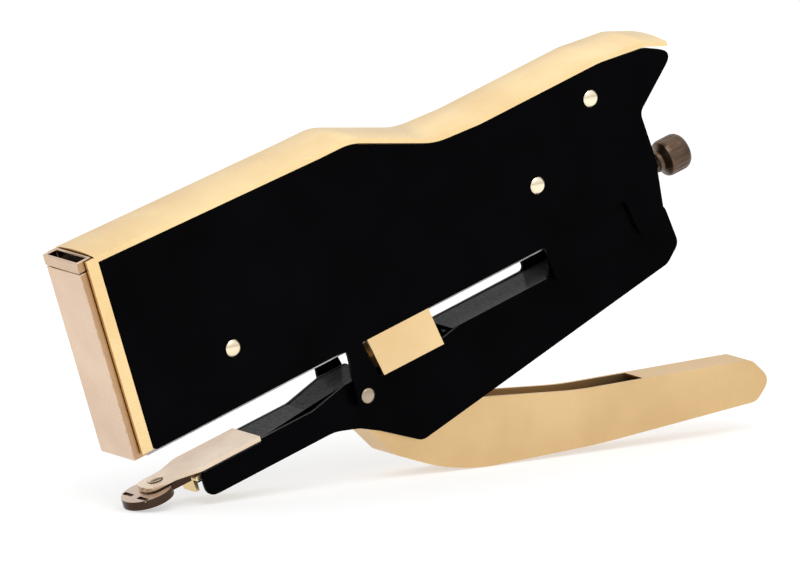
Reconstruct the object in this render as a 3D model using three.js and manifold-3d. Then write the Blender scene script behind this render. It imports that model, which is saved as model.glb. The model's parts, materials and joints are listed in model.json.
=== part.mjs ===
// A plier stapler: a pincer-shaped hand stapler. A folded steel body with two side covers holds the
// magazine. A fixed lower arm carries the anvil, and squeezing the lever below it turns a rocker,
// which presses the magazine down on the paper and drives a staple.
//
// Everything is designed in the jaw frame, in millimetres: x runs rearward from the front edge of
// the side covers, z runs up from their lower edge, and y runs across the stapler from its middle.
// At the end the whole stapler is pitched until it stands on its anvil and its lever.
import * as THREE from 'three';
import { mergeVertices } from 'three/addons/utils/BufferGeometryUtils.js';
import Module from 'manifold-3d';

const wasm = await Module();
wasm.setup();

// Layers across the stapler, as distances from its middle plane.
const COVER_OUT = 7.0;
const COVER_IN = 6.25;
const WALL_OUT = 5.95;
const WALL_IN = 5.35;
const ARM_OUT = 4.9;
const ARM_IN = 4.25;
const LEVER_OUT = 3.95;
const LEVER_IN = 3.25;
const CHANNEL_OUT = 5.0;
const CHANNEL_IN = 4.45;
const GAP = 0.3;
const CONTACT = 0.1;
const SHORTEST_ARC = 0.3;

// Pivots and fasteners, as [x, z].
const LEVER_PIVOT = [49.3, -10.6];
const ROCKER_PIVOT = [44, 20];
const HEAD_PIVOT = [112, 9];
const ROLLER = [62, 11.8];
const RIVET_FRONT = [23.1, 11.8];
const RIVET_MIDDLE = [99.6, 12.7];
const RIVET_REAR = [116.7, 24.1];

const PIN_RADIUS = 1.2;
const HOLE_RADIUS = PIN_RADIUS + GAP;
const RIVET_HEAD_RADIUS = 1.7;
const ROLLER_RADIUS = 1.9;

// Where the lever's closed rear end begins.
const HOOD_FRONT = 113;

// Full squeeze: the lever's turn, and how far the rocker turns for each degree of it.
const LEVER_SWING = THREE.MathUtils.degToRad(20);
const ROCKER_RATIO = 0.85;

// Throat and arm.
const COLUMN_BOTTOM = -0.5;
const COLUMN_TOP = 40;
const COLLAR_TOP = 42.5;
const COLUMN_FRONT = -4.5;
const COLUMN_REAR = -1.1;
const COLUMN_HALF = 6;
const FRONT_WEB = [-10.2, -9.3];
const HOOD_TOP = -7.3;
const REAR_WEB = [-8.2, -7.3];
const ANVIL_CENTRE_X = -0.6;
const ANVIL_RADIUS = 5.2;
const ANVIL_SIDES = 36;
const ANVIL_TOP = -9.9;
const ANVIL_BOTTOM = -11.7;
const ANVIL_RIVET = [2, 0];
const BAR_TOP = -8.6;
const BAR_LOW = ANVIL_TOP + GAP;

// Magazine.
const CHANNEL_FLOOR = -1.2;
const CHANNEL_TOP = 6.6;
const CHANNEL_END = 116.3;
const SHEET = 0.55;
const ROD_Z = 2.2;
const ROD_RADIUS = 0.9;
const STICK_END = 52;
const PUSHER_END = 60;
const KNOB_START = 131;

const BLACK = { color: 0x08080a, roughness: 0.18, metalness: 0.1 };
const GOLD = { color: 0xd9b277, roughness: 0.28, metalness: 0.9 };
const NICKEL = { color: 0xd8c8bb, roughness: 0.25, metalness: 0.95 };
const STEEL = { color: 0x9a9a98, roughness: 0.4, metalness: 0.9 };
const WIRE = { color: 0xb4b4b2, roughness: 0.3, metalness: 0.95 };
const BRONZE = { color: 0x6b584a, roughness: 0.35, metalness: 0.85 };
const CREAM = { color: 0xeadcc0, roughness: 0.25, metalness: 0.9 };

// ---- Joining and cutting ----

function solidOf(geometry) {
  const bare = geometry.clone();
  bare.deleteAttribute('normal');
  bare.deleteAttribute('uv');
  const merged = mergeVertices(bare, 1e-4);
  return new wasm.Manifold(new wasm.Mesh({
    numProp: 3,
    vertProperties: new Float32Array(merged.attributes.position.array),
    triVerts: new Uint32Array(merged.index.array),
  }));
}

function geometryOf(solid) {
  const { vertProperties, triVerts } = solid.getMesh();
  const geometry = new THREE.BufferGeometry();
  geometry.setAttribute('position', new THREE.BufferAttribute(new Float32Array(vertProperties), 3));
  geometry.setIndex(new THREE.BufferAttribute(new Uint32Array(triVerts), 1));
  geometry.computeVertexNormals();
  return geometry;
}

function shaped(base, { join = [], cut = [] }) {
  let solid = solidOf(base);
  for (const piece of join) {
    solid = solid.add(solidOf(piece));
  }
  for (const piece of cut) {
    solid = solid.subtract(solidOf(piece));
  }
  return geometryOf(solid);
}

// ---- Basic shapes ----

// A closed outline in x and z whose corners are [x, z, radius]. A corner that barely turns stays sharp.
function outline(corners) {
  const shape = new THREE.Shape();
  corners.forEach(([x, z, radius = 0], i) => {
    const before = corners.at(i - 1);
    const after = corners[(i + 1) % corners.length];
    const toBefore = new THREE.Vector2(before[0] - x, before[1] - z);
    const toAfter = new THREE.Vector2(after[0] - x, after[1] - z);
    const tangent = radius / Math.tan(toBefore.angleTo(toAfter) / 2);
    const longest = 0.48 * Math.min(toBefore.length(), toAfter.length());
    const reach = tangent < SHORTEST_ARC ? 0 : Math.min(tangent, longest);
    toBefore.setLength(reach);
    toAfter.setLength(reach);
    if (i === 0) {
      shape.moveTo(x + toBefore.x, z + toBefore.y);
    } else {
      shape.lineTo(x + toBefore.x, z + toBefore.y);
    }
    if (reach > 0) {
      shape.quadraticCurveTo(x, z, x + toAfter.x, z + toAfter.y);
    }
  });
  shape.closePath();
  return shape;
}

// A flat plate of the given outline, from yLow to yHigh.
function plate(corners, yLow, yHigh, curveSegments = 5) {
  const settings = { depth: yHigh - yLow, bevelEnabled: false, curveSegments };
  const geometry = new THREE.ExtrudeGeometry(outline(corners), settings);
  geometry.rotateX(Math.PI / 2);
  geometry.translate(0, yHigh, 0);
  return geometry;
}

// A flat plate whose outline lies in x and y, from zLow to zHigh.
function slab(corners, [zLow, zHigh], curveSegments = 8) {
  const settings = { depth: zHigh - zLow, bevelEnabled: false, curveSegments };
  const geometry = new THREE.ExtrudeGeometry(outline(corners), settings);
  geometry.translate(0, 0, zLow);
  return geometry;
}

// The same plate on both sides of the middle plane, as two geometries.
function platePair(corners, inner, outer) {
  return [plate(corners, inner, outer), plate(corners, -outer, -inner)];
}

function block([xLow, xHigh], [yLow, yHigh], [zLow, zHigh]) {
  const geometry = new THREE.BoxGeometry(xHigh - xLow, yHigh - yLow, zHigh - zLow);
  geometry.translate((xLow + xHigh) / 2, (yLow + yHigh) / 2, (zLow + zHigh) / 2);
  return geometry;
}

// A block on each side of the middle plane.
function blockPair(xRange, [inner, outer], zRange) {
  return [block(xRange, [inner, outer], zRange), block(xRange, [-outer, -inner], zRange)];
}

// A round bar across the stapler.
function crossBar([x, z], radius, halfLength, segments = 24) {
  const geometry = new THREE.CylinderGeometry(radius, radius, halfLength * 2, segments);
  geometry.translate(x, 0, z);
  return geometry;
}

// A round bar standing upright at [x, y].
function uprightBar([x, y], radius, [zLow, zHigh], segments = 24) {
  const geometry = new THREE.CylinderGeometry(radius, radius, zHigh - zLow, segments);
  geometry.rotateX(Math.PI / 2);
  geometry.translate(x, y, (zLow + zHigh) / 2);
  return geometry;
}

// A turned shape about a line across the stapler: the profile is [radius, y].
function turnedAcross([x, z], profile, segments = 24) {
  const geometry = new THREE.LatheGeometry(profile.map(([r, y]) => new THREE.Vector2(r, y)), segments);
  geometry.translate(x, 0, z);
  return geometry;
}

// A turned shape about the rod's line: the profile is [radius, x].
function turnedOnRod(profile, segments = 24) {
  const geometry = new THREE.LatheGeometry(profile.map(([r, x]) => new THREE.Vector2(r, x)), segments);
  geometry.rotateZ(-Math.PI / 2);
  geometry.translate(0, 0, ROD_Z);
  return geometry;
}

// A shaft with a low domed head at each end, lying on the outer faces of the covers.
function headedPin(centre, headRadius, headHeight) {
  const face = COVER_OUT + CONTACT;
  const half = [[PIN_RADIUS, face], [headRadius, face]];
  for (let step = 1; step <= 4; step++) {
    const angle = (step / 4) * (Math.PI / 2);
    half.push([headRadius * Math.cos(angle), face + headHeight * Math.sin(angle)]);
  }
  half[half.length - 1][0] = 0;
  const mirrored = half.map(([r, y]) => [r, -y]).reverse();
  return turnedAcross(centre, [...mirrored, ...half]);
}

// A tube between the side walls, round a rivet.
function spacer(centre) {
  const half = WALL_IN - GAP;
  return shaped(crossBar(centre, 2.5, half), { cut: [crossBar(centre, HOLE_RADIUS, half + 1)] });
}

// A wire coil of round section along +z, from 0 to the given length.
function coil(radius, wireRadius, turns, length, stepsPerTurn = 12) {
  const wireSides = 6;
  class Helix extends THREE.Curve {
    getPoint(t, target = new THREE.Vector3()) {
      const angle = t * turns * Math.PI * 2;
      const height = wireRadius + t * (length - 2 * wireRadius);
      return target.set(radius * Math.cos(angle), radius * Math.sin(angle), height);
    }
  }
  const section = new THREE.Shape();
  section.absarc(0, 0, wireRadius, 0, Math.PI * 2);
  return new THREE.ExtrudeGeometry(section, {
    extrudePath: new Helix(),
    steps: Math.round(turns * stepsPerTurn),
    curveSegments: wireSides / 2,
    bevelEnabled: false,
  });
}

// ---- Outlines that several pieces share ----

// Top edge of the side covers, front to rear: a long straight front, a hump and a low rear grip.
const TOP_EDGE = [
  [0, 41, 1],
  [54, 39, 25],
  [61.5, 38.9, 12],
  [72.5, 34, 16],
  [80, 30.6, 16],
  [91, 29.8, 20],
  [121, 29.8, 20],
  [131.9, 28.4, 6],
];

const COVER = [
  [0, 0, 0.8],
  ...TOP_EDGE,
  [138.2, 25, 2.4],
  [127, 16.4, 2.5],
  [127.5, 5.8, 6],
  [125.8, -6.6, 2.6],
  [119.6, -8.4, 2.6],
  [118, 1.2, 1.5],
  [98.2, 1.2, 0.5],
  [97.4, 0, 0.5],
  [51.5, 0, 0.4],
  [53.4, -8.6, 1.5],
  [52.4, -13.2, 2.6],
  [46.8, -13.2, 2.6],
  [47.8, 0, 1],
];

// Side of the lower arm: slim in front, with a belly over the lever's pivot.
const ARM_SIDE = [
  [9.6, -9.9, 1.5],
  [9.6, -15.4, 3],
  [41.2, -15.3, 10],
  [46.8, -17.1, 4],
  [51.1, -19.6, 6],
  [59.8, -25.7, 3],
  [124.8, -16.3, 3.2],
  [128.5, -13.4, 2.5],
  [127.6, -4.2, 2],
  [98.6, -4.2, 1],
  [97.6, -7.1, 1],
  [75, -7.2, 4],
  [66, -9.2, 4],
  [54, -9.2, 0.5],
  [53.4, HOOD_TOP, 1],
  [46.4, HOOD_TOP, 3],
  [37.8, -9.2, 6],
  [24.9, -9.2],
  [24.6, -9.9],
];

// The arm's rear plates, which stand between the covers and carry the magazine's pivot.
const ARM_REAR = [
  [98.6, -8],
  [122.6, -8, 2],
  [126.2, -4.4, 2],
  [124.8, 3, 3],
  [124.8, 16, 2],
  [121.5, 27.5, 2],
  [95, 27.5, 2],
  [95, 3, 2],
  [98, 0.5, 2],
];

// The lever's underside, from its front end to its tail.
const LEVER_UNDERSIDE = [
  [46.7, -14, 2.6],
  [53.2, -26, 3],
  [62.3, -32.9, 40],
  [70.9, -37.2, 60],
  [98.7, -44.6, 200],
  [136.4, -52.4, 3],
  [141, -49.4, 3],
];

// ---- Body ----

// Points along an open path whose inner corners are rounded as in an outline.
function pathPoints(corners, curveSegments) {
  const farBelow = -100;
  const [firstX, lastX] = [corners[0][0], corners.at(-1)[0]];
  const closed = outline([...corners, [lastX, farBelow], [firstX, farBelow]]);
  return closed.getPoints(curveSegments).slice(0, -1).filter(({ y }) => y > farBelow + 1);
}

// A sheet that follows a path and is crowned across the stapler: highest in the middle.
function crownedSheet(points, halfWidth, crown, [low, high], strips = 12) {
  const row = strips + 1;
  const underside = points.length * row;
  const positions = [];
  for (const level of [high, low]) {
    for (const { x, y: z } of points) {
      for (let j = 0; j <= strips; j++) {
        const across = (2 * j) / strips - 1;
        positions.push(x, across * halfWidth, z + level + crown * (1 - across ** 2));
      }
    }
  }
  const indices = [];
  const quad = (a, b, c, d) => indices.push(a, b, c, a, c, d);
  const top = (i, j) => i * row + j;
  const under = (i, j) => underside + i * row + j;
  const last = points.length - 1;
  for (let i = 0; i < last; i++) {
    for (let j = 0; j < strips; j++) {
      quad(top(i, j), top(i + 1, j), top(i + 1, j + 1), top(i, j + 1));
      quad(under(i, j), under(i, j + 1), under(i + 1, j + 1), under(i + 1, j));
    }
    quad(under(i, strips), top(i, strips), top(i + 1, strips), under(i + 1, strips));
    quad(under(i, 0), under(i + 1, 0), top(i + 1, 0), top(i, 0));
  }
  for (let j = 0; j < strips; j++) {
    quad(under(0, j), top(0, j), top(0, j + 1), under(0, j + 1));
    quad(under(last, j), under(last, j + 1), top(last, j + 1), top(last, j));
  }
  const geometry = new THREE.BufferGeometry();
  geometry.setAttribute('position', new THREE.Float32BufferAttribute(positions, 3));
  geometry.setIndex(indices);
  return geometry;
}

// The folded body: a crowned spine that closes the nose's top, two walls inside the covers and a strip
// at each side of the nose.
function frameShell() {
  const spine = [0.2, 1.3];
  const crown = 0.6;
  const noseFront = -2.9;
  const lip = [-0.8, -GAP];
  const lipLow = 12;
  const wallRise = 1.2;
  const wallEnd = 92;
  const wallLow = 0.6;
  const noseTop = TOP_EDGE[0][1] + wallRise;
  const raised = TOP_EDGE.map(([x, z, radius], i) => [x, z + wallRise, i === 0 ? 0 : radius]);
  const path = [[lip[0], TOP_EDGE[0][1]], ...TOP_EDGE.slice(1), [137.2, 26.2]];
  // The side walls leave room for the lever's cams and the rocker's roller, which move in their layer.
  const wall = [
    [0, 0.3],
    [0, lipLow],
    [lip[0], lipLow],
    [lip[0], noseTop],
    ...raised.slice(1, 5),
    [wallEnd, raised[5][1]],
    [wallEnd, wallLow],
    [79, wallLow, 1],
    [79, 21, 3],
    [47.5, 21, 3],
    [47.5, wallLow, 1],
  ];
  const nose = blockPair([noseFront, -GAP], [COLUMN_HALF + GAP, COVER_OUT], [0.3, noseTop]);
  const lips = blockPair(lip, [WALL_IN, COVER_OUT - 0.1], [lipLow, noseTop - 0.1]);
  const tab = crownedSheet(lip.map((x) => ({ x, y: TOP_EDGE[0][1] })), 6.5, crown, [-2, 0.8]);
  return shaped(crownedSheet(pathPoints(path, 8), COVER_OUT, crown, spine), {
    join: [...platePair(wall, WALL_IN, WALL_OUT), ...nose, ...lips, tab],
    cut: [
      crossBar(RIVET_FRONT, HOLE_RADIUS, COVER_OUT),
      crossBar(ROCKER_PIVOT, HOLE_RADIUS, COVER_OUT),
    ],
  });
}

function sideCover(side) {
  const [yLow, yHigh] = side > 0 ? [COVER_IN, COVER_OUT] : [-COVER_OUT, -COVER_IN];
  const holes = [RIVET_FRONT, RIVET_MIDDLE, RIVET_REAR, LEVER_PIVOT];
  return shaped(plate(COVER, yLow, yHigh, 10), {
    cut: holes.map((centre) => crossBar(centre, HOLE_RADIUS, COVER_OUT + 1)),
  });
}

function lowerArm() {
  const across = [-ARM_IN - 0.3, ARM_IN + 0.3];
  const drill = (centre) => crossBar(centre, HOLE_RADIUS, WALL_OUT + 1);
  const [left, right] = platePair(ARM_SIDE, ARM_IN, ARM_OUT)
    .map((side) => shaped(side, { cut: [drill(LEVER_PIVOT)] }));
  const rear = platePair(ARM_REAR, WALL_IN, WALL_OUT)
    .map((side) => shaped(side, { cut: [RIVET_MIDDLE, RIVET_REAR, HEAD_PIVOT].map(drill) }));
  const joggles = blockPair([99.5, 121], [ARM_IN + 0.2, WALL_OUT - 0.2], [-7.4, -5]);
  // The web rises over the lever's knuckle between the two ears of the sides.
  const hood = [
    [36.9, FRONT_WEB[0] + 0.1],
    [46.6, HOOD_TOP - 0.8],
    [53.1, HOOD_TOP - 0.8],
    [53.1, HOOD_TOP - 0.1],
    [46.4, HOOD_TOP - 0.1, 3],
    [37.8, FRONT_WEB[1] - 0.1],
    [36.9, FRONT_WEB[1] - 0.1],
  ];
  return shaped(left, {
    join: [
      right,
      block([25.1, 37.6], across, FRONT_WEB),
      plate(hood, ...across),
      block([73.5, 121], across, REAR_WEB),
      ...rear,
      ...joggles,
    ],
  });
}

// ---- Anvil ----

// A bar whose narrow round tip lies over the pad.
function anvilArm() {
  const tip = -1.6;
  const half = 2.8;
  const near = [[24.6, -ARM_OUT], [24.6, ARM_OUT], [10, ARM_OUT, 4], [5, half, 4], [tip, half, half]];
  const far = near.slice(2).map(([x, y, radius]) => [x, -y, radius]).reverse();
  return shaped(slab([...near, ...far], [BAR_LOW, BAR_TOP]), {
    cut: [uprightBar(ANVIL_RIVET, HOLE_RADIUS - 0.2, [BAR_LOW - 1, BAR_TOP + 1])],
  });
}

// A round pad with a tongue under the bar, and a shallow pocket for each leg of a staple.
function anvil() {
  const disc = new THREE.CylinderGeometry(
    ANVIL_RADIUS, ANVIL_RADIUS, ANVIL_TOP - ANVIL_BOTTOM, ANVIL_SIDES, 1, false, Math.PI / ANVIL_SIDES);
  disc.rotateX(Math.PI / 2);
  disc.translate(ANVIL_CENTRE_X, 0, (ANVIL_TOP + ANVIL_BOTTOM) / 2);
  return shaped(disc, {
    join: [block([3, 8.4], [-2.6, 2.6], [ANVIL_BOTTOM + 0.4, ANVIL_TOP])],
    cut: [
      ...blockPair([-3.8, -2.8], [1, 4.2], [ANVIL_TOP - 0.4, ANVIL_TOP + 1]),
      uprightBar(ANVIL_RIVET, HOLE_RADIUS - 0.2, [ANVIL_BOTTOM - 1, ANVIL_TOP + 1]),
    ],
  });
}

// A shaft with a low domed head on top of the bar.
function anvilRivet() {
  const [x, y] = ANVIL_RIVET;
  const face = BAR_TOP + CONTACT;
  const profile = [
    [0, ANVIL_BOTTOM + 0.2],
    [1, ANVIL_BOTTOM + 0.2],
    [1, face],
    [1.7, face],
    [1.6, face + 0.2],
    [1, face + 0.4],
    [0, face + 0.45],
  ];
  const geometry = new THREE.LatheGeometry(profile.map(([r, z]) => new THREE.Vector2(r, z)), 24);
  geometry.rotateX(Math.PI / 2);
  geometry.translate(x, y, 0);
  return geometry;
}

function anvilBacking() {
  const front = 8.8;
  const top = FRONT_WEB[0] - GAP;
  return shaped(block([front, 40], [-3.9, 3.9], [top - 1, top]), {
    join: [block([front, front + 1], [-2.2, 2.2], [-14.2, top])],
  });
}

// ---- Lever ----

function turned([x, z], [centreX, centreZ], angle) {
  const dx = x - centreX;
  const dz = z - centreZ;
  return [
    centreX + dx * Math.cos(angle) - dz * Math.sin(angle),
    centreZ + dx * Math.sin(angle) + dz * Math.cos(angle),
  ];
}

// The lever's cam edge: where the rocker's roller runs as the lever is squeezed, seen from the
// lever, less the roller's radius and a little air.
function camEdge() {
  const steps = 4;
  const air = 0.35;
  const edge = [];
  for (let step = 0; step <= steps; step++) {
    const squeeze = (step / steps) * LEVER_SWING;
    const roller = turned(ROLLER, ROCKER_PIVOT, ROCKER_RATIO * squeeze);
    const [x, z] = turned(roller, LEVER_PIVOT, -squeeze);
    edge.push([x, z - ROLLER_RADIUS - air]);
  }
  return edge;
}

// A channel-shaped grip that turns on its pin between the arm's sides. Its front end carries a bridge
// and two cam plates, which stand up on either side of the magazine.
function lever() {
  const cam = camEdge();
  const first = cam[0];
  const last = cam.at(-1);
  const bridgeTop = -8;
  // Its front is a knuckle round the pin, with a dip behind it that clears the arm's hood.
  const grip = [
    ...LEVER_UNDERSIDE,
    [137.9, -43.8, 3],
    [97.7, -32.2, 100],
    [74.9, -23.3, 8],
    [66, -9.7, 2],
    [59, bridgeTop - 0.2],
    [55.3, bridgeTop - 0.2],
    [54.3, -10, 0.8],
    [50.7, -8.5, 1.4],
    [46.9, -8.5, 2.2],
  ];
  const skin = 0.9;
  const tail = LEVER_UNDERSIDE.at(-1);
  const hollow = [
    [44, -12.6],
    [47.8, -12.6],
    [47.8, -14],
    ...LEVER_UNDERSIDE.slice(1, 5).map(([x, z, radius]) => [x + skin / 3, z + skin, radius]),
    [136.2, -51.4, 2.5],
    [tail[0] - 1.2, tail[1] + 0.5, 2.5],
    [136.9, -44.6, 2],
    [HOOD_FRONT, -37.7, 2],
    [HOOD_FRONT, 30],
    [44, 30],
  ];
  const camPlate = [
    [54.9, -8.9],
    [69.9, -8.9],
    [68.6, 0, 4],
    [last[0] + 2, last[1], 1.5],
    ...cam.toReversed(),
    [first[0] - 3.6, first[1], 1.5],
    [53.3, 0, 2],
  ];
  return shaped(plate(grip, -LEVER_OUT, LEVER_OUT, 8), {
    join: [
      ...platePair(camPlate, WALL_IN, WALL_OUT),
      block([55.3, 60], [-WALL_OUT + 0.1, WALL_OUT - 0.1], [-8.9, bridgeTop]),
    ],
    cut: [plate(hollow, -LEVER_IN, LEVER_IN), crossBar(LEVER_PIVOT, HOLE_RADIUS, LEVER_OUT + 1)],
  });
}

// ---- Rocker and driver ----

function rocker() {
  const halfWidth = 3;
  const side = [
    [1.7, 27.3, 1.25],
    [1.7, 24.8, 1.25],
    [8, 24.1, 8],
    [24, 21, 20],
    [38, 15, 6],
    [48, 14, 6],
    [58.4, 8.2, 3.6],
    [65.6, 8.2, 3.6],
    [65.6, 15.4, 3.6],
    [49.5, 25.5, 8],
    [38.5, 27.4, 8],
    [22, 29.2, 20],
    [8, 26.9, 8],
  ];
  return shaped(plate(side, -halfWidth, halfWidth), {
    cut: [
      crossBar(ROCKER_PIVOT, HOLE_RADIUS, halfWidth + 1),
      crossBar(ROLLER, ROLLER_RADIUS + GAP, halfWidth + 1),
    ],
  });
}

function driverBlock() {
  return shaped(block([0.2, 6], [-4.6, 4.6], [20.5, 31.5]), {
    join: [block([-2.6, 0.5], [-2, 2], [22, 30])],
    cut: [block([1, 7], [-3.4, 3.4], [24.1, 27.9])],
  });
}

// ---- Head: magazine and guide column ----

function guideColumn() {
  const wall = 0.6;
  const [front, rear, half] = [COLUMN_FRONT, COLUMN_REAR, COLUMN_HALF];
  const inside = block([front + wall, rear - wall], [-half + wall, half - wall], [-5, 50]);
  return shaped(block([front, rear], [-half, half], [COLUMN_BOTTOM, COLUMN_TOP]), {
    cut: [
      inside,
      block([-2.2, 1], [-2.5, 2.5], [13.5, 31]),
      block([-2.2, 1], [-4.7, 4.7], [-5, 5.8]),
    ],
  });
}

function columnCollar() {
  const wall = 0.7;
  const [front, rear, half] = [COLUMN_FRONT - 0.2, COLUMN_REAR, COLUMN_HALF];
  return shaped(block([front, rear], [-half, half], [COLUMN_TOP + GAP, COLLAR_TOP]), {
    cut: [block([front + wall, rear - wall], [-half + wall, half - wall], [30, 50])],
  });
}

function magazineChannel() {
  const start = COLUMN_REAR + GAP;
  const side = [
    [start, CHANNEL_FLOOR],
    [CHANNEL_END, CHANNEL_FLOOR],
    [CHANNEL_END, 10, 3],
    [114, 12.4, 2.4],
    [109.6, 12.4, 2.4],
    [107, CHANNEL_TOP, 1],
    [start, CHANNEL_TOP],
  ];
  return shaped(plate(side, -CHANNEL_OUT, CHANNEL_OUT), {
    cut: [
      block([-5, 130], [-CHANNEL_IN, CHANNEL_IN], [CHANNEL_FLOOR + SHEET, 20]),
      crossBar(HEAD_PIVOT, HOLE_RADIUS, CHANNEL_OUT + 1),
    ],
  });
}

function magazineRail() {
  const [half, top] = [3.45, 4.2];
  const low = CHANNEL_FLOOR + SHEET + GAP;
  return shaped(block([1, CHANNEL_END - 1], [-half, half], [low, top]), {
    cut: [block([0, 130], [-half + 0.5, half - 0.5], [low + 0.45, 10])],
  });
}

function stapleStick() {
  const [half, crown, top] = [4.2, 0.5, 5];
  return shaped(block([-2.6, STICK_END], [-half, half], [-0.1, top]), {
    cut: [block([-5, 130], [-half + 0.45, half - 0.45], [-5, top - crown])],
  });
}

function magazineEndPlate() {
  const [front, rear] = [CHANNEL_END + GAP, CHANNEL_END + GAP + 1];
  const radius = ROD_RADIUS + GAP;
  const bore = [[0, front - 1], [radius, front - 1], [radius, rear + 1], [0, rear + 1]];
  return shaped(block([front, rear], [-CHANNEL_OUT, CHANNEL_OUT], [CHANNEL_FLOOR, 7.6]), {
    cut: [turnedOnRod(bore)],
  });
}

// ---- Pusher ----

function pusher() {
  const [front, rear] = [STICK_END + GAP, PUSHER_END];
  return shaped(block([front, rear], [-4.1, 4.1], [4.5, 6]), {
    join: [
      block([front, rear], [-2.6, 2.6], [0.4, 5]),
      ...blockPair([front, rear], [3.75, 4.1], [0.2, 5]),
    ],
  });
}

function pullRod() {
  const start = PUSHER_END + GAP;
  const end = KNOB_START + 3;
  return turnedOnRod([[0, start], [ROD_RADIUS, start], [ROD_RADIUS, end], [0, end]], 16);
}

function rearKnob() {
  const bore = ROD_RADIUS + GAP;
  return turnedOnRod([
    [0, KNOB_START + 3 + GAP],
    [bore, KNOB_START + 3 + GAP],
    [bore, KNOB_START],
    [2.1, KNOB_START],
    [2.3, KNOB_START + 1.2],
    [3.4, KNOB_START + 1.6],
    [3.8, KNOB_START + 2.4],
    [3.8, KNOB_START + 5.6],
    [3.3, KNOB_START + 6.8],
    [2, KNOB_START + 7.4],
    [0, KNOB_START + 7.6],
  ]);
}

function pusherSpring() {
  const start = PUSHER_END + 0.6;
  const geometry = coil(1.6, 0.3, 18, CHANNEL_END - start, 10);
  geometry.rotateY(Math.PI / 2);
  geometry.translate(start, 0, ROD_Z);
  return geometry;
}

function leverSpring() {
  const [low, high] = [-37.2, REAR_WEB[0] - GAP];
  const geometry = coil(2.4, 0.45, 8, high - low);
  geometry.translate(76.6, 0, low);
  return geometry;
}

// ---- Assembly ----

const stapler = new THREE.Group();

function add(name, geometry, finish) {
  const mesh = new THREE.Mesh(geometry, new THREE.MeshStandardMaterial(finish));
  mesh.name = name;
  stapler.add(mesh);
}

add('frame_shell', frameShell(), GOLD);
add('left_cover', sideCover(-1), BLACK);
add('right_cover', sideCover(1), BLACK);
add('lower_arm', lowerArm(), BLACK);
add('anvil_arm', anvilArm(), NICKEL);
add('anvil', anvil(), BRONZE);
add('anvil_backing', anvilBacking(), GOLD);
add('anvil_rivet', anvilRivet(), NICKEL);
const rivets = { front: RIVET_FRONT, middle: RIVET_MIDDLE, rear: RIVET_REAR };
for (const [place, centre] of Object.entries(rivets)) {
  add(`rivet_${place}`, headedPin(centre, RIVET_HEAD_RADIUS, 0.9), CREAM);
  add(`spacer_${place}`, spacer(centre), STEEL);
}
add('lever_pin', headedPin(LEVER_PIVOT, 1.5, 0.6), STEEL);
add('rocker_pin', crossBar(ROCKER_PIVOT, PIN_RADIUS, WALL_OUT), STEEL);
add('head_pin', crossBar(HEAD_PIVOT, PIN_RADIUS, WALL_OUT), STEEL);

add('lever', lever(), GOLD);
add('lever_spring', leverSpring(), WIRE);

add('rocker', rocker(), STEEL);
add('rocker_roller', crossBar(ROLLER, ROLLER_RADIUS, WALL_OUT - 0.1), STEEL);

add('guide_column', guideColumn(), NICKEL);
add('column_collar', columnCollar(), NICKEL);
add('magazine_channel', magazineChannel(), STEEL);
add('magazine_rail', magazineRail(), STEEL);
add('staple_stick', stapleStick(), WIRE);
add('magazine_end_plate', magazineEndPlate(), STEEL);
add('pusher_spring', pusherSpring(), WIRE);

add('driver_blade', block([-3.7, -2.9], [-4.3, 4.3], [6, 38.5]), STEEL);
add('driver_block', driverBlock(), STEEL);

add('pusher', pusher(), STEEL);
add('pull_rod', pullRod(), WIRE);
add('rear_knob', rearKnob(), BRONZE);

// Standing: pitched until the anvil's front rim and the lever's underside meet one level surface.
const rimX = ANVIL_CENTRE_X - ANVIL_RADIUS * Math.cos(Math.PI / ANVIL_SIDES);
const pitch = Math.max(...outline(LEVER_UNDERSIDE).getPoints(5)
  .filter(({ x }) => x > 60)
  .map(({ x, y }) => Math.atan2(ANVIL_BOTTOM - y, x - rimX)));
stapler.rotation.y = -pitch;

// The origin is the middle of the footprint of the whole object, at its lowest level.
const part = new THREE.Group();
part.add(stapler);
part.updateMatrixWorld(true);
const bounds = new THREE.Box3().setFromObject(part, true);
const centre = bounds.getCenter(new THREE.Vector3());
stapler.position.set(-centre.x, -centre.y, -bounds.min.z);
part.updateMatrixWorld(true);

export default part;
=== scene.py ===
"""Looks for the plier stapler: finishes, fine pieces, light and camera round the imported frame."""

import json
import math

import bmesh
import bpy
from mathutils import Matrix, Vector


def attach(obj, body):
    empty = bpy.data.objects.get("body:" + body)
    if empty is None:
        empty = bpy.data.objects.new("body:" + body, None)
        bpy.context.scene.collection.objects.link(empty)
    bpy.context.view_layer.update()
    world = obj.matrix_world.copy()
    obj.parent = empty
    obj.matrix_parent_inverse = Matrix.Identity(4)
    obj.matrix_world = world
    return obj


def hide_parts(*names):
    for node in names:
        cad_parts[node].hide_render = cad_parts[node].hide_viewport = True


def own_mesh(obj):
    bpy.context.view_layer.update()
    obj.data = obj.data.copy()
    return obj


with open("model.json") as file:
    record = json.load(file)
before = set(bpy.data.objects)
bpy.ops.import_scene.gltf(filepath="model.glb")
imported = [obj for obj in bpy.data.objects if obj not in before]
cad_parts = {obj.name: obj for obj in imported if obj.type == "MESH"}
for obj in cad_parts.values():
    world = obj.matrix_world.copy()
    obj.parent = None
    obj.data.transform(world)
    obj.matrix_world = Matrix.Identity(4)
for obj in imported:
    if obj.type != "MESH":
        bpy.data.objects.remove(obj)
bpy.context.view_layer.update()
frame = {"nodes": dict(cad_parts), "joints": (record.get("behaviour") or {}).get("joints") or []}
nodes = frame["nodes"]
joints = {joint["name"]: joint for joint in frame["joints"]}

MM = 0.001

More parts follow.
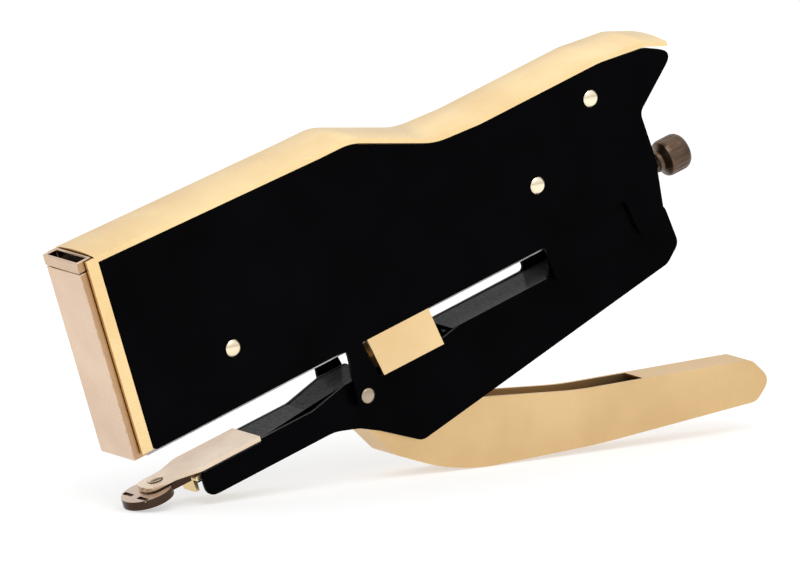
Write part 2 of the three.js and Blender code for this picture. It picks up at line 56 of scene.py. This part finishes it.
# The stapler is designed in the jaw frame, in mm: x rearward from the covers' front edge, y across,
# z up from the covers' lower edge. The driver slides down that frame's z, which gives the pitch,
# and the lever's pin is a known point in it.
SLIDE = joints["driver_slide"]["axis"]
PITCH = math.atan2(SLIDE[0], -SLIDE[2])
LEVER_PIVOT = Vector((49.3, 0, -10.6))
TURN = Matrix.Rotation(-PITCH, 4, "Y")
SHIFT = Vector(joints["lever_squeeze"]["pos_m"]) - TURN @ (LEVER_PIVOT * MM)
JAW = Matrix.Translation(SHIFT) @ TURN @ Matrix.Scale(MM, 4)
UP = TURN @ Vector((0, 0, 1))


def jaw(x, y, z):
    """A point of the jaw frame, in the row frame and in metres."""
    return JAW @ Vector((x, y, z))


# ---- Node materials ----

class Look:
    """A Principled material that is built up from noise, wear and bump."""

    def __init__(self, name, **values):
        self.material = bpy.data.materials.new(name)
        self.material.use_nodes = True
        self.tree = self.material.node_tree
        self.shader = self.tree.nodes["Principled BSDF"]
        for key, value in values.items():
            self.shader.inputs[key].default_value = value

    def node(self, kind, inputs=(), **settings):
        """A new node. Each input is a value or the socket that feeds it."""
        made = self.tree.nodes.new(kind)
        for key, value in settings.items():
            setattr(made, key, value)
        for key, value in dict(inputs).items():
            if isinstance(value, bpy.types.NodeSocket):
                self.tree.links.new(value, made.inputs[key])
            else:
                made.inputs[key].default_value = value
        return made

    def link(self, socket, key):
        self.tree.links.new(socket, self.shader.inputs[key])

    def place(self, scale=(1, 1, 1)):
        """Object coordinates in metres along the jaw frame, stretched by scale."""
        coordinates = self.node("ShaderNodeTexCoord").outputs["Object"]
        level = self.node("ShaderNodeMapping", {"Vector": coordinates, "Rotation": (0, PITCH, 0)})
        return self.node("ShaderNodeMapping", {"Vector": level.outputs[0], "Scale": scale}).outputs[0]

    def noise(self, scale, stretch=(1, 1, 1), detail=3.0):
        """Soft noise about 0.5, with scale features in a metre."""
        made = self.node("ShaderNodeTexNoise", {
            "Vector": self.place(stretch), "Scale": scale, "Detail": detail, "Roughness": 0.55})
        return made.outputs["Fac"]

    def spread(self, socket, low, high, from_low=0.3, from_high=0.7):
        """The socket's range from from_low to from_high, stretched over low to high and held there."""
        made = self.node("ShaderNodeMapRange", {
            "Value": socket, "From Min": from_low, "From Max": from_high, "To Min": low, "To Max": high})
        return made.outputs["Result"]

    def mix(self, factor, a, b):
        """Colour a where factor is 0 and b where it is 1."""
        made = self.node("ShaderNodeMix", data_type="RGBA")
        for key, value in ((0, factor), (6, a), (7, b)):
            if isinstance(value, bpy.types.NodeSocket):
                self.tree.links.new(value, made.inputs[key])
            else:
                made.inputs[key].default_value = value
        return made.outputs[2]

    def bump(self, height, distance):
        """Relief of that distance in metres, softened."""
        made = self.node("ShaderNodeBump", {
            "Height": height, "Distance": distance, "Strength": 0.3})
        self.link(made.outputs["Normal"], "Normal")


def rgb(red, green, blue):
    """An sRGB colour of 0 to 255 as linear RGBA."""
    def linear(value):
        value /= 255
        return value / 12.92 if value <= 0.04045 else ((value + 0.055) / 1.055) ** 2.4
    return (linear(red), linear(green), linear(blue), 1.0)


def enamel(name, chips=False, rubbed_and_sheen=False):
    """Glossy black enamel with a faint orange peel. On edges, chips of it have worn through. Where asked,
    faces that
    point up turn streaky grey: partly wear where paper slides, partly a painted reflection of the bright
    light above."""
    look = Look(name, **{"Metallic": 0.0, "Specular IOR Level": 0.015})
    base = look.mix(look.spread(look.noise(60), 0, 1), rgb(2, 2, 3), rgb(5, 5, 7))
    if chips:
        worn = look.spread(look.noise(1400, detail=4), 0, 0.8, 0.56, 0.64)
        base = look.mix(worn, rgb(10, 10, 12), rgb(84, 78, 72))
    if rubbed_and_sheen:
        # Faces that point up take a streaky grey: a painted reflection of the bright light above, mixed
        # with wear from paper.
        normal = look.node("ShaderNodeNewGeometry").outputs["Normal"]
        upward = look.node("ShaderNodeVectorMath", {0: normal, 1: tuple(UP)},
                           operation="DOT_PRODUCT").outputs["Value"]
        streaks = look.noise(240, (60, 3, 60), detail=4)
        grey = look.mix(look.spread(streaks, 0, 1), rgb(44, 44, 46), rgb(104, 104, 106))
        base = look.mix(look.spread(upward, 0, 1, 0.9, 0.99), base, grey)
    look.link(base, "Base Color")
    look.link(look.spread(look.noise(260), 0.12, 0.26), "Roughness")
    look.bump(look.noise(900, detail=2), 0.04 * MM)
    return look.material


# Which way the fine lines of a plated piece run: each has the noise's stretch along x, y and z.
LENGTHWISE, UPRIGHT, EVEN = (4, 60, 60), (60, 60, 6), (60, 60, 60)


def plated(name, light, dark, roughness, grain=LENGTHWISE, worn=None):
    """Bright plating over rolled steel: soft cloudiness, fine lines along the grain, small dull specks."""
    look = Look(name, Metallic=1.0)
    lines = look.noise(220, grain, detail=4)
    cloud = look.noise(45, detail=3)
    base = look.mix(look.spread(cloud, 0, 1, 0.32, 0.68), dark, light)
    base = look.mix(look.spread(lines, 0, 0.28), base, dark)
    if worn:
        base = look.mix(look.spread(look.noise(900, detail=4), 0, 0.8, 0.48, 0.6), base, worn)
    look.link(base, "Base Color")
    look.link(look.spread(lines, roughness - 0.06, roughness + 0.08), "Roughness")
    look.bump(lines, 0.02 * MM)
    return look.material


def finish_of(name, light, dark, roughness, worn, grain=LENGTHWISE):
    """A plated face and the worn, broken plating of its edges."""
    return (plated(name, light, dark, roughness, grain),
            plated(name + "_edge", light, dark, roughness, grain, worn))


GOLD = finish_of("gold_plating", rgb(252, 226, 172), rgb(238, 203, 146), 0.30, rgb(255, 240, 205))
LEVER_GOLD = finish_of("lever_plating", rgb(229, 196, 146), rgb(212, 178, 128), 0.36, rgb(246, 220, 170))
CAM_GOLD = plated("cam_plating", rgb(243, 213, 163), rgb(232, 199, 148), 0.34)
NICKEL = finish_of("pink_nickel", rgb(226, 202, 178), rgb(208, 180, 156), 0.26, rgb(196, 160, 124),
                   UPRIGHT)
# Painted shade: a darker tan for the flat sides of the guide column and its collar.
COLUMN_SIDE_SHADE = plated("column_side_shade", rgb(200, 166, 130), rgb(176, 142, 108), 0.30, UPRIGHT)
COLLAR = finish_of("collar_nickel", rgb(218, 192, 166), rgb(196, 168, 142), 0.28, rgb(224, 200, 174))
BAR = finish_of("anvil_nickel", rgb(246, 228, 206), rgb(200, 174, 150), 0.22, rgb(250, 240, 226))
PAD = plated("pad_face", rgb(214, 192, 174), rgb(176, 152, 136), 0.28)
# Painted shade: a dark finish for the hollow inside the guide column and collar, and for the anvil's sides
# and its tongue under the bar.
SHADE_DARK = finish_of("painted_shade_dark", rgb(84, 66, 54), rgb(42, 30, 24), 0.34, rgb(170, 150, 130))
KNOB = finish_of("knob_plating", rgb(114, 94, 79), rgb(66, 52, 43), 0.34, rgb(180, 164, 148))
PIN = finish_of("pin_plating", rgb(206, 190, 168), rgb(158, 142, 122), 0.34, rgb(224, 212, 194))
CREAM = finish_of("rivet_plating", rgb(255, 244, 218), rgb(238, 218, 180), 0.22, rgb(255, 250, 236))
STEEL = finish_of("inner_steel", rgb(196, 194, 190), rgb(140, 138, 134), 0.38, rgb(222, 220, 216))
WIRE = finish_of("bright_wire", rgb(214, 212, 206), rgb(160, 158, 152), 0.28, rgb(230, 228, 224),
                 EVEN)
ENAMEL = (enamel("black_enamel"), enamel("black_enamel_edge", chips=True))
ARM_ENAMEL = (enamel("arm_enamel", rubbed_and_sheen=True), enamel("arm_enamel_edge", chips=True))


def paint(obj, finish):
    """The finish of the faces, and of the rounded edges where there is one."""
    obj.data.materials.clear()
    for material in finish:
        obj.data.materials.append(material)


# ---- CAD pieces that keep their own shape ----

# The finish of each node: its faces, its rounded edges, and then the faces that face_slot picks out.
FINISH = {
    "frame_shell": GOLD, "left_cover": ENAMEL, "right_cover": ENAMEL, "lower_arm": ARM_ENAMEL,
    "anvil_arm": BAR, "anvil": (*SHADE_DARK, PAD), "anvil_backing": GOLD, "anvil_rivet": BAR,
    "rivet_front": CREAM, "rivet_middle": CREAM, "rivet_rear": CREAM,
    "spacer_front": STEEL, "spacer_middle": STEEL, "spacer_rear": STEEL,
    "lever_pin": STEEL, "rocker_pin": STEEL, "head_pin": STEEL,
    "lever": (*LEVER_GOLD, CAM_GOLD), "lever_spring": WIRE, "rocker": STEEL, "rocker_roller": STEEL,
    "guide_column": (*NICKEL, COLUMN_SIDE_SHADE, SHADE_DARK[0]), "column_collar": (*COLLAR, COLUMN_SIDE_SHADE, SHADE_DARK[0]),
    "magazine_channel": STEEL, "magazine_rail": STEEL, "staple_stick": WIRE,
    "magazine_end_plate": STEEL, "pusher_spring": WIRE, "driver_blade": STEEL, "driver_block": STEEL,
    "pusher": STEEL, "pull_rod": WIRE, "rear_knob": KNOB,
}
# How far each piece's edges are broken, in mm. The rest take the usual edge.
EDGE = {"frame_shell": 0.22, "left_cover": 0.26, "right_cover": 0.26, "lower_arm": 0.2,
        "lever": 0.22, "guide_column": 0.16, "column_collar": 0.16, "anvil_arm": 0.2}
USUAL_EDGE = 0.12
ROUND_WIRES = ("lever_spring", "pusher_spring")  # these have no edges to break

WELD_DISTANCE = 0.001 * MM
FLAT_WITHIN = math.radians(0.5)
SHARP_FROM = math.radians(35)


def soften(obj, width):
    """Welds a faceted solid, joins its coplanar triangles and rounds its edges."""
    obj.modifiers.new("weld", "WELD").merge_threshold = WELD_DISTANCE
    flat = obj.modifiers.new("flat", "DECIMATE")
    flat.decimate_type = "DISSOLVE"
    flat.angle_limit = FLAT_WITHIN
    bevel = obj.modifiers.new("edge", "BEVEL")
    bevel.width = width * MM
    bevel.segments = 3
    bevel.limit_method = "ANGLE"
    bevel.angle_limit = SHARP_FROM
    bevel.miter_outer = "MITER_ARC"
    bevel.material = 1
    normals = obj.modifiers.new("normals", "WEIGHTED_NORMAL")
    normals.weight = 100
    normals.keep_sharp = True


COLUMN_X = -2.8  # the guide column's middle
PAD_REAR = 4.6  # the pad ends here, and its tongue under the bar goes on
LEVER_OUT = 3.95  # half the lever's width; its cam plates stand further out
SLACK = 0.1
FACING = 0.9  # how far a direction must lie along an axis to count as facing it
UNPITCH = TURN.to_3x3().transposed()
TO_JAW = JAW.inverted()


def face_slot(name, centre, normal):
    """Which of its finishes a face of a CAD node takes, from the face's middle in mm and its direction,
    both in the jaw frame. Slot 1 is kept for the rounded edges."""
    if name == "anvil":
        # The pad's upward face takes the lighter pad finish; the anvil's sides and its tongue take the dark
        # finish, painted shade.
        return 2 if normal.z > FACING and centre.x < PAD_REAR else 0
    if name == "lever":
        return 2 if abs(centre.y) > LEVER_OUT + SLACK else 0
    if name in ("guide_column", "column_collar"):
        outward = (centre.x - COLUMN_X) * normal.x + centre.y * normal.y
        # Faces that point into the hollow take the dark finish, painted shade.
        if outward < -SLACK:
            return 3
        # Side faces take the darker tan, painted shade on the flanks.
        return 2 if abs(normal.y) > FACING else 0
    return 0


for name, obj in nodes.items():
    paint(obj, FINISH[name])
    for polygon in obj.data.polygons:
        polygon.use_smooth = True
        polygon.material_index = face_slot(name, TO_JAW @ polygon.center, UNPITCH @ polygon.normal)
    if name not in ROUND_WIRES:
        soften(obj, EDGE.get(name, USUAL_EDGE))


# ---- Fine pieces that stand for plain CAD solids ----

SMOOTH_BELOW = math.radians(30)


def piece(name, shape, finish, body, replaced):
    """A new piece from a bmesh in the jaw frame, in mm, which rides on a body in place of a node."""
    shape.transform(JAW)
    bmesh.ops.recalc_face_normals(shape, faces=shape.faces)
    mesh = bpy.data.meshes.new(name)
    shape.to_mesh(mesh)
    shape.free()
    obj = bpy.data.objects.new(name, mesh)
    bpy.context.scene.collection.objects.link(obj)
    paint(obj, finish)
    mesh.shade_smooth()
    mesh.set_sharp_from_angle(angle=SMOOTH_BELOW)
    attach(obj, body)
    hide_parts(replaced)
    return obj


def turned(profile, place, segments, flutes=None):
    """A closed turned shape. The profile is (radius, height) from axis to axis, place(a, b, h) puts
    a point at offsets a and b from the axis and height h, and flutes(h, angle) scales the radius."""
    shape = bmesh.new()
    rings = []
    for radius, height in profile:
        if radius < 1e-6:
            rings.append([shape.verts.new(place(0, 0, height))])
            continue
        ring = []
        for i in range(segments):
            angle = math.tau * i / segments
            reach = radius * (flutes(height, angle) if flutes else 1)
            ring.append(shape.verts.new(place(reach * math.cos(angle), reach * math.sin(angle), height)))
        rings.append(ring)
    for low, high in zip(rings, rings[1:]):
        for i in range(segments):
            j = (i + 1) % segments
            if len(low) == 1:
                shape.faces.new((low[0], high[i], high[j]))
            elif len(high) == 1:
                shape.faces.new((low[i], high[0], low[j]))
            else:
                shape.faces.new((low[i], high[i], high[j], low[j]))
    return shape


def wire(points, radius, sides=10):
    """A round wire along points, with closed ends."""
    shape = bmesh.new()
    rings = []
    side = None
    for i, point in enumerate(points):
        ahead = (points[min(i + 1, len(points) - 1)] - points[max(i - 1, 0)]).normalized()
        side = ahead.orthogonal() if side is None else side
        side = (side - ahead * side.dot(ahead)).normalized()
        other = ahead.cross(side)
        rings.append([shape.verts.new(point + (side * math.cos(math.tau * k / sides)
                                               + other * math.sin(math.tau * k / sides)) * radius)
                      for k in range(sides)])
    for low, high in zip(rings, rings[1:]):
        for k in range(sides):
            m = (k + 1) % sides
            shape.faces.new((low[k], low[m], high[m], high[k]))
    shape.faces.new(rings[0])
    shape.faces.new(reversed(rings[-1]))
    return shape


STEADY_RISE = 0.06  # the share of a spring's length that all its turns rise evenly


def helix(start, ahead, radius, turns, length, steps=26):
    """Points of a spring whose last turn at each end lies close, as on a real compression spring."""
    ahead = Vector(ahead).normalized()
    side = ahead.orthogonal().normalized()
    other = ahead.cross(side)
    points = []
    count = turns * steps
    closed = 1 / turns
    for i in range(count + 1):
        t = i / count
        eased = min(max((t - closed) / (1 - 2 * closed), 0), 1)
        height = length * (STEADY_RISE * t + (1 - STEADY_RISE) * eased)
        angle = math.tau * turns * t
        points.append(Vector(start) + ahead * height
                      + (side * math.cos(angle) + other * math.sin(angle)) * radius)
    return points


HEAD_FOOT = 7.1  # each head begins here, just off the cover's outer face
SHAFT_RADIUS = 1.2
HEAD_RIM = 0.22
DOME_RINGS = 8
DOME_START = 0.94  # the dome's radius at the rim, as a share of the head's


def headed_rivet(node, x, z, head, height, finish, slot):
    """A rivet across the stapler with a low domed head at each end: a flat rim, then a dome."""
    rim = HEAD_FOOT + HEAD_RIM
    half = [(SHAFT_RADIUS, HEAD_FOOT), (head, HEAD_FOOT), (head, rim)]
    for k in range(1, DOME_RINGS):
        turn = math.pi / 2 * k / DOME_RINGS
        half.append((head * DOME_START * math.cos(turn), rim + (height - HEAD_RIM) * math.sin(turn)))
    half.append((0, HEAD_FOOT + height))
    profile = [(r, -h) for r, h in reversed(half)] + half
    shape = turned(profile, lambda a, b, h: (x + a, h, z + b), 48)
    piece(node + "_head", shape, finish, "frame", node)


RIVETS = {"front": (23.1, 11.8), "middle": (99.6, 12.7), "rear": (116.7, 24.1)}
for spot, centre in RIVETS.items():
    headed_rivet("rivet_" + spot, *centre, 1.7, 0.9, CREAM, "rivet_plating")
headed_rivet("lever_pin", LEVER_PIVOT.x, LEVER_PIVOT.z, 1.5, 0.6, PIN, "inner_steel")

# The knob: a collar, a waist and a fluted drum with rounded ends, bored for its rod.
KNOB_FRONT, ROD_Z, BORE = 131.0, 2.2, 1.2
KNOB_PROFILE = [(radius, KNOB_FRONT + along) for radius, along in (
    (0, 3.3), (BORE, 3.3), (BORE, 0), (1.9, 0), (2.1, 0.2), (2.15, 1.0), (1.9, 1.25), (2.5, 1.5),
    (3.2, 1.7), (3.6, 2.0), (3.78, 2.5), (3.8, 3.1), (3.8, 4.1), (3.8, 5.1), (3.78, 5.8), (3.6, 6.4),
    (3.2, 6.9), (2.4, 7.3), (1.4, 7.5), (0.7, 7.58), (0, 7.6))]
DRUM_START, DRUM_LENGTH = KNOB_FRONT + 2.5, 3.3
FLUTES, FLUTE_DEPTH = 20, 0.05


def knob_flutes(height, angle):
    """Shallow grip flutes along the drum, which fade out at both of its ends."""
    along = min(max((height - DRUM_START) / DRUM_LENGTH, 0), 1)
    depth = FLUTE_DEPTH * math.sin(math.pi * along) ** 0.5
    return 1 - depth * (0.5 - 0.5 * math.cos(FLUTES * angle))


piece("knurled_knob",
      turned(KNOB_PROFILE, lambda a, b, h: (h, a, ROD_Z + b), 160, knob_flutes),
      KNOB, "pusher", "rear_knob")

# The stick of staples: thin staples side by side, with the glue line's groove between them.
STICK_START, STICK_END, STAPLE_PITCH = -2.6, 52.0, 0.546
STAPLE_HALF, STAPLE_TOP, STAPLE_LOW, STAPLE_WIRE = 4.2, 5.0, -0.1, 0.45
CORNER_CUT = 0.18
GROOVE_AHEAD, GROOVE_BEHIND = 0.01, 0.03


def staple_half_section():
    """One half of a staple's outline, seen along the stick, from the inside of its crown to the outside."""
    inner, crown = STAPLE_HALF - STAPLE_WIRE, STAPLE_TOP - STAPLE_WIRE
    return [(inner - CORNER_CUT, crown), (inner, crown - CORNER_CUT), (inner, STAPLE_LOW),
            (STAPLE_HALF, STAPLE_LOW), (STAPLE_HALF, STAPLE_TOP - CORNER_CUT),
            (STAPLE_HALF - CORNER_CUT, STAPLE_TOP)]


def staples():
    """Every staple of the stick, as one mesh of separate closed bars of channel section."""
    half = staple_half_section()
    section = half + [(-y, z) for y, z in reversed(half)]
    shape = bmesh.new()
    for k in range(round((STICK_END - STICK_START) / STAPLE_PITCH)):
        front = STICK_START + k * STAPLE_PITCH
        rings = [[shape.verts.new((x, y, z)) for y, z in section]
                 for x in (front + GROOVE_AHEAD, front + STAPLE_PITCH - GROOVE_BEHIND)]
        for i in range(len(section)):
            j = (i + 1) % len(section)
            shape.faces.new((rings[0][i], rings[0][j], rings[1][j], rings[1][i]))
        shape.faces.new(rings[0])
        shape.faces.new(reversed(rings[1]))
    return shape


piece("staple_row", staples(), WIRE[:1], "head", "staple_stick")

# The lever's spring hangs from the arm's web down to the lever's floor, and rides on the frame.
ARM_WEB_LOW, LEVER_FLOOR, LEVER_SPRING_X = -8.5, -37.2, 76.6
LEVER_SEAT_GAP = 0.5
lever_spring_path = helix((LEVER_SPRING_X, 0, ARM_WEB_LOW - LEVER_SEAT_GAP), (0, 0, -1), 2.4, 9,
                          ARM_WEB_LOW - LEVER_FLOOR - 2 * LEVER_SEAT_GAP)
lever_coil = piece("lever_spring_coil", wire(lever_spring_path, 0.44), WIRE[:1],
                   "frame", "lever_spring")
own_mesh(lever_coil)

# The pusher's spring lies round the rod from the channel's rear end to the pusher.
PUSHER_BACK, CHANNEL_END = 60.6, 116.3
PUSHER_SEAT_GAP = 0.35
pusher_spring_path = helix((CHANNEL_END - PUSHER_SEAT_GAP, 0, ROD_Z), (-1, 0, 0), 1.6, 18,
                           CHANNEL_END - PUSHER_BACK - 2 * PUSHER_SEAT_GAP, steps=18)
pusher_coil = piece("pusher_spring_coil", wire(pusher_spring_path, 0.28, 8), WIRE[:1],
                    "head", "pusher_spring")
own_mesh(pusher_coil)

# ---- Floor, light and camera ----

AZIMUTH = math.radians(-34)
ELEVATION = math.radians(11)
BACK = Vector((math.sin(AZIMUTH) * math.cos(ELEVATION), -math.cos(AZIMUTH) * math.cos(ELEVATION),
               math.sin(ELEVATION)))
AIM = (63.6, -7, 7.9)  # the point of the near cover that the camera looks at
PICTURE_WIDTH = 157.8  # mm from side to side of the picture, at that point
LENS, SENSOR = 1000, 36
CLIP_START, CLIP_END = 0.05, 20  # as shares of the camera's distance


def add_camera():
    """The camera, at the distance that gives the picture its width. Returns the point it looks at."""
    data = bpy.data.cameras.new("camera")
    data.lens = LENS
    data.sensor_width = SENSOR
    camera = bpy.data.objects.new("camera", data)
    bpy.context.scene.collection.objects.link(camera)
    distance = PICTURE_WIDTH * MM * LENS / SENSOR
    target = jaw(*AIM)
    camera.location = target + BACK * distance
    camera.rotation_mode = "QUATERNION"
    camera.rotation_quaternion = (-BACK).to_track_quat("-Z", "Y")
    data.clip_start = distance * CLIP_START
    data.clip_end = distance * CLIP_END
    bpy.context.scene.camera = camera
    return target


def area_light(name, place, aim, size, power):
    """A soft white rectangle, in metres and watts."""
    data = bpy.data.lights.new(name, "AREA")
    data.shape = "RECTANGLE"
    data.size, data.size_y = size
    data.energy = power
    light = bpy.data.objects.new(name, data)
    bpy.context.scene.collection.objects.link(light)
    light.location = place
    light.rotation_mode = "QUATERNION"
    light.rotation_quaternion = (Vector(aim) - Vector(place)).to_track_quat("-Z", "Y")


FLOOR_HALF = 12  # metres
FLOOR_DROP = 0.0001  # metres, keeps the floor off the stapler's lowest face


def add_floor():
    """A wide floor of pale matt paper that glows a little, so that only a faint shadow is left on it."""
    mesh = bpy.data.meshes.new("floor")
    floor = bpy.data.objects.new("floor", mesh)
    bpy.context.scene.collection.objects.link(floor)
    shape = bmesh.new()
    bmesh.ops.create_grid(shape, x_segments=4, y_segments=4, size=FLOOR_HALF)
    shape.to_mesh(mesh)
    shape.free()
    floor.location.z = -FLOOR_DROP
    look = Look("floor_paper", **{"Roughness": 0.9, "Specular IOR Level": 0.0,
                                  "Emission Color": (1, 1, 1, 1), "Emission Strength": 0.52})
    look.link(look.mix(look.noise(3), rgb(194, 194, 194), rgb(197, 197, 197)), "Base Color")
    paint(floor, [look.material])


def add_world(horizon, overhead):
    """White light from all round, weaker from low down, which gives the plating its shade."""
    world = bpy.data.worlds.new("studio")
    bpy.context.scene.world = world
    world.use_nodes = True
    tree = world.node_tree
    direction = tree.nodes.new("ShaderNodeTexCoord").outputs["Generated"]
    split = tree.nodes.new("ShaderNodeSeparateXYZ")
    tree.links.new(direction, split.inputs[0])
    strength = tree.nodes.new("ShaderNodeMapRange")
    strength.interpolation_type = "SMOOTHSTEP"
    ramp = {"From Min": 0.0, "From Max": 0.5, "To Min": horizon, "To Max": overhead}
    for key, value in ramp.items():
        strength.inputs[key].default_value = value
    tree.links.new(split.outputs["Z"], strength.inputs["Value"])
    background = tree.nodes["Background"]
    background.inputs["Color"].default_value = (1, 1, 1, 1)
    tree.links.new(strength.outputs["Result"], background.inputs["Strength"])


target = add_camera()
add_floor()
add_world(horizon=0.65, overhead=1.0)
area_light("key", (-0.15, -0.35, 0.75), target, size=(0.5, 0.5), power=1.6)
area_light("rim", (0.5, 0.5, 0.6), target, size=(0.6, 0.6), power=0.15)
view = bpy.context.scene.view_settings
view.view_transform = "Standard"
